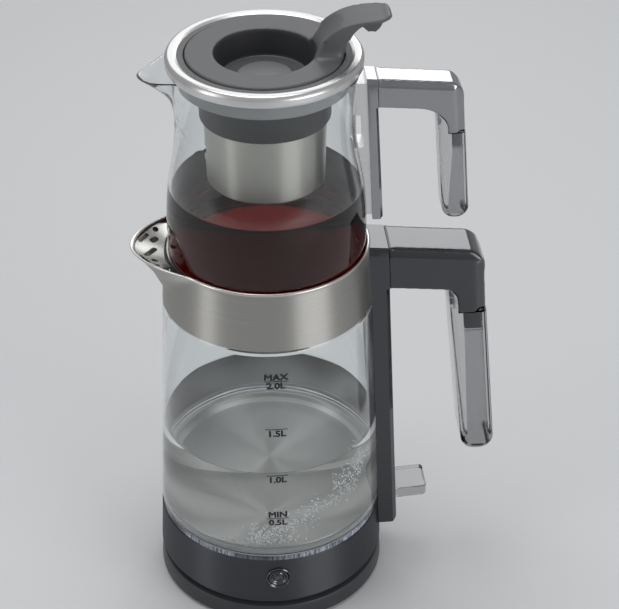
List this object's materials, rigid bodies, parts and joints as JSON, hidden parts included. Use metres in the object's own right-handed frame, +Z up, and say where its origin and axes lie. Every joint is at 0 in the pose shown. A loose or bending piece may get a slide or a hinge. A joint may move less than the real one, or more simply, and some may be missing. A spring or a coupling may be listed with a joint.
{
  "type": "automatic tea maker",
  "caption": "Glass kettle with a steel collar on a power base, and a glass teapot with infuser and hinged lid on its mouth.",
  "frame": {"origin": "on the kettle's axis at the plane the feet rest on", "axes": "+Z up along the kettle's axis, +X to the handles, -X to the spouts, -Y to the button and litre marks"},
  "size_m": [0.2356, 0.156, 0.4079],
  "materials": {
    "base_plastic": "fine satin, near black",
    "connector_plastic": "matte black",
    "foot_rubber": "matte",
    "fastener_steel": "satin",
    "contact_brass": "plated",
    "dark_steel": "brushed round, dark tinted",
    "collar_steel": "brushed round, satin",
    "polished_steel": "polished",
    "plate_steel": "spun, bright",
    "element_aluminium": "as cast",
    "thermostat_plastic": "phenolic, matte",
    "board_green": "lacquered",
    "light_diffuser": "milky, lit from inside",
    "silicone": "translucent grey silicone",
    "clear_glass": "clear borosilicate",
    "handle_dark": "metallic lacquer, dark grey",
    "handle_silver": "metallic lacquer, silver",
    "clear_grip": "smoky clear, polished",
    "clear_lever": "clear, polished",
    "chrome_trim": "bright",
    "button_plastic": "satin silver",
    "satin_chrome": "satin",
    "lid_grey": "fine satin, mid grey",
    "lid_dark": "fine satin, dark grey",
    "vent_grey": "matte",
    "print_ink": "printed on the glass",
    "water": "clear",
    "tea": "black tea"
  },
  "bodies": {
    "power_base": {"base_cover": "base_plastic", "base_floor": "base_plastic", "rubber_feet": "foot_rubber", "base_screws": "fastener_steel", "base_connector": "connector_plastic", "contact_rings": "contact_brass", "cord_gland": "foot_rubber"},
    "kettle": {"kettle_bottom": "base_plastic", "heater_housing": "dark_steel", "kettle_socket": "connector_plastic", "heating_plate": "plate_steel", "heating_element": "element_aluminium", "thermal_cutout": "thermostat_plastic", "control_board": "board_green", "light_ring": "light_diffuser", "glass_gasket": "silicone", "kettle_glass": "clear_glass", "kettle_collar": "collar_steel", "kettle_spout": "collar_steel", "spout_strainer": "polished_steel", "pot_seat": "polished_steel", "mouth_seal": "silicone", "kettle_spine": "handle_dark", "kettle_arm": "handle_dark", "kettle_grip": "clear_grip", "handle_screws": "fastener_steel", "button_bezel": "chrome_trim", "lever_pin": "fastener_steel"},
    "switch_lever": {"switch_lever": "clear_lever"},
    "button": {"power_button": "button_plastic"},
    "teapot": {"teapot_glass": "clear_glass", "pot_saddle": "satin_chrome", "pot_spine": "handle_silver", "pot_arm": "handle_silver", "pot_grip": "clear_grip"},
    "cover": {"lid_ring": "satin_chrome", "lid_seat": "lid_dark", "lid_skirt": "silicone", "infuser_collar": "lid_dark", "infuser_basket": "polished_steel"},
    "lid": {"lid_flap": "lid_grey", "vent_disc": "vent_grey", "hinge_pin": "fastener_steel"}
  },
  "joints": [
    {"name": "kettle_lift", "type": "slide", "parent": "power_base", "child": "kettle", "axis": [0, 0, 1], "range_m": [0, 0.05]},
    {"name": "teapot_lift", "type": "slide", "parent": "kettle", "child": "teapot", "axis": [0, 0, 1], "range_m": [0, 0.06]},
    {"name": "cover_lift", "type": "slide", "parent": "teapot", "child": "cover", "axis": [0, 0, 1], "range_m": [0, 0.1]},
    {"name": "lid_hinge", "type": "hinge", "parent": "cover", "child": "lid", "pos_m": [0.0435, 0, 0.387], "axis": [0, 1, 0], "range_deg": [0, 50]},
    {"name": "lever_hinge", "type": "hinge", "parent": "kettle", "child": "switch_lever", "pos_m": [0.078, 0, 0.0528], "axis": [0, 1, 0], "range_deg": [0, 12], "stiffness_Nm_per_rad": 0.3, "springref_deg": -5.73},
    {"name": "button_press", "type": "slide", "parent": "kettle", "child": "button", "axis": [0, 1, 0], "range_m": [0, 0.0015], "stiffness_N_per_m": 400, "springref_m": -0.001}
  ]
}
